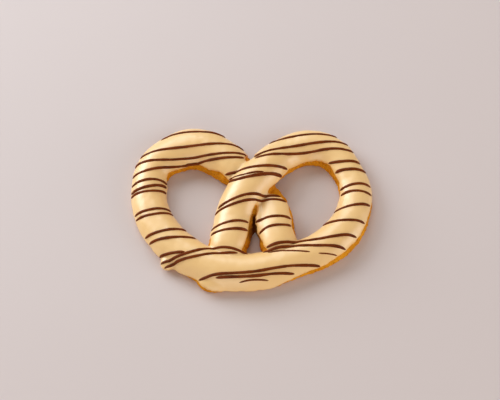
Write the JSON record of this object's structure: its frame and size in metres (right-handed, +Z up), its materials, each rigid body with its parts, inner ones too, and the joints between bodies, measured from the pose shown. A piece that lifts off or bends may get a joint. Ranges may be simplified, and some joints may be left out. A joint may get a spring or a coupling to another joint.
{
  "type": "iced pretzel",
  "caption": "Baked pretzel-shaped pastry with a crossed rope of dough, a smooth coat of icing over the top and thin chocolate lines drizzled across it.",
  "frame": {"origin": "on the surface the pretzel lies on, under the middle of its bounding box", "axes": "+X across both loops, its longest side; +Y from the rounded base towards the tops of the two loops; +Z up from the flat underside, its shortest side"},
  "size_m": [0.121, 0.0928, 0.0167],
  "materials": {
    "baked_dough": "matt baked crumb; stands in for baked dough, about 600 kg per cubic metre",
    "icing": "smooth satin; stands in for set icing",
    "chocolate": "satin; stands in for set chocolate"
  },
  "bodies": {
    "root": {"dough": "baked_dough", "icing": "icing", "drizzle_arm_01": "chocolate", "drizzle_arm_02": "chocolate", "drizzle_arm_03": "chocolate", "drizzle_arm_04": "chocolate", "drizzle_base_01": "chocolate", "drizzle_base_02": "chocolate", "drizzle_base_03": "chocolate", "drizzle_cross_01": "chocolate", "drizzle_cross_02": "chocolate", "drizzle_cross_03": "chocolate", "drizzle_cross_04": "chocolate", "drizzle_cross_05": "chocolate", "drizzle_left_01": "chocolate", "drizzle_left_02": "chocolate", "drizzle_left_03": "chocolate", "drizzle_left_04": "chocolate", "drizzle_left_05": "chocolate", "drizzle_left_06": "chocolate", "drizzle_left_07": "chocolate", "drizzle_left_08": "chocolate", "drizzle_left_09": "chocolate", "drizzle_left_10": "chocolate", "drizzle_left_11": "chocolate", "drizzle_left_12": "chocolate", "drizzle_left_13": "chocolate", "drizzle_left_14": "chocolate", "drizzle_right_01": "chocolate", "drizzle_right_02": "chocolate", "drizzle_right_03": "chocolate", "drizzle_right_04": "chocolate", "drizzle_right_05": "chocolate", "drizzle_right_06": "chocolate", "drizzle_right_07": "chocolate", "drizzle_right_08": "chocolate", "drizzle_right_09": "chocolate", "drizzle_right_10": "chocolate", "drizzle_right_11": "chocolate", "drizzle_right_12": "chocolate", "drizzle_right_13": "chocolate"}
  },
  "joints": []
}
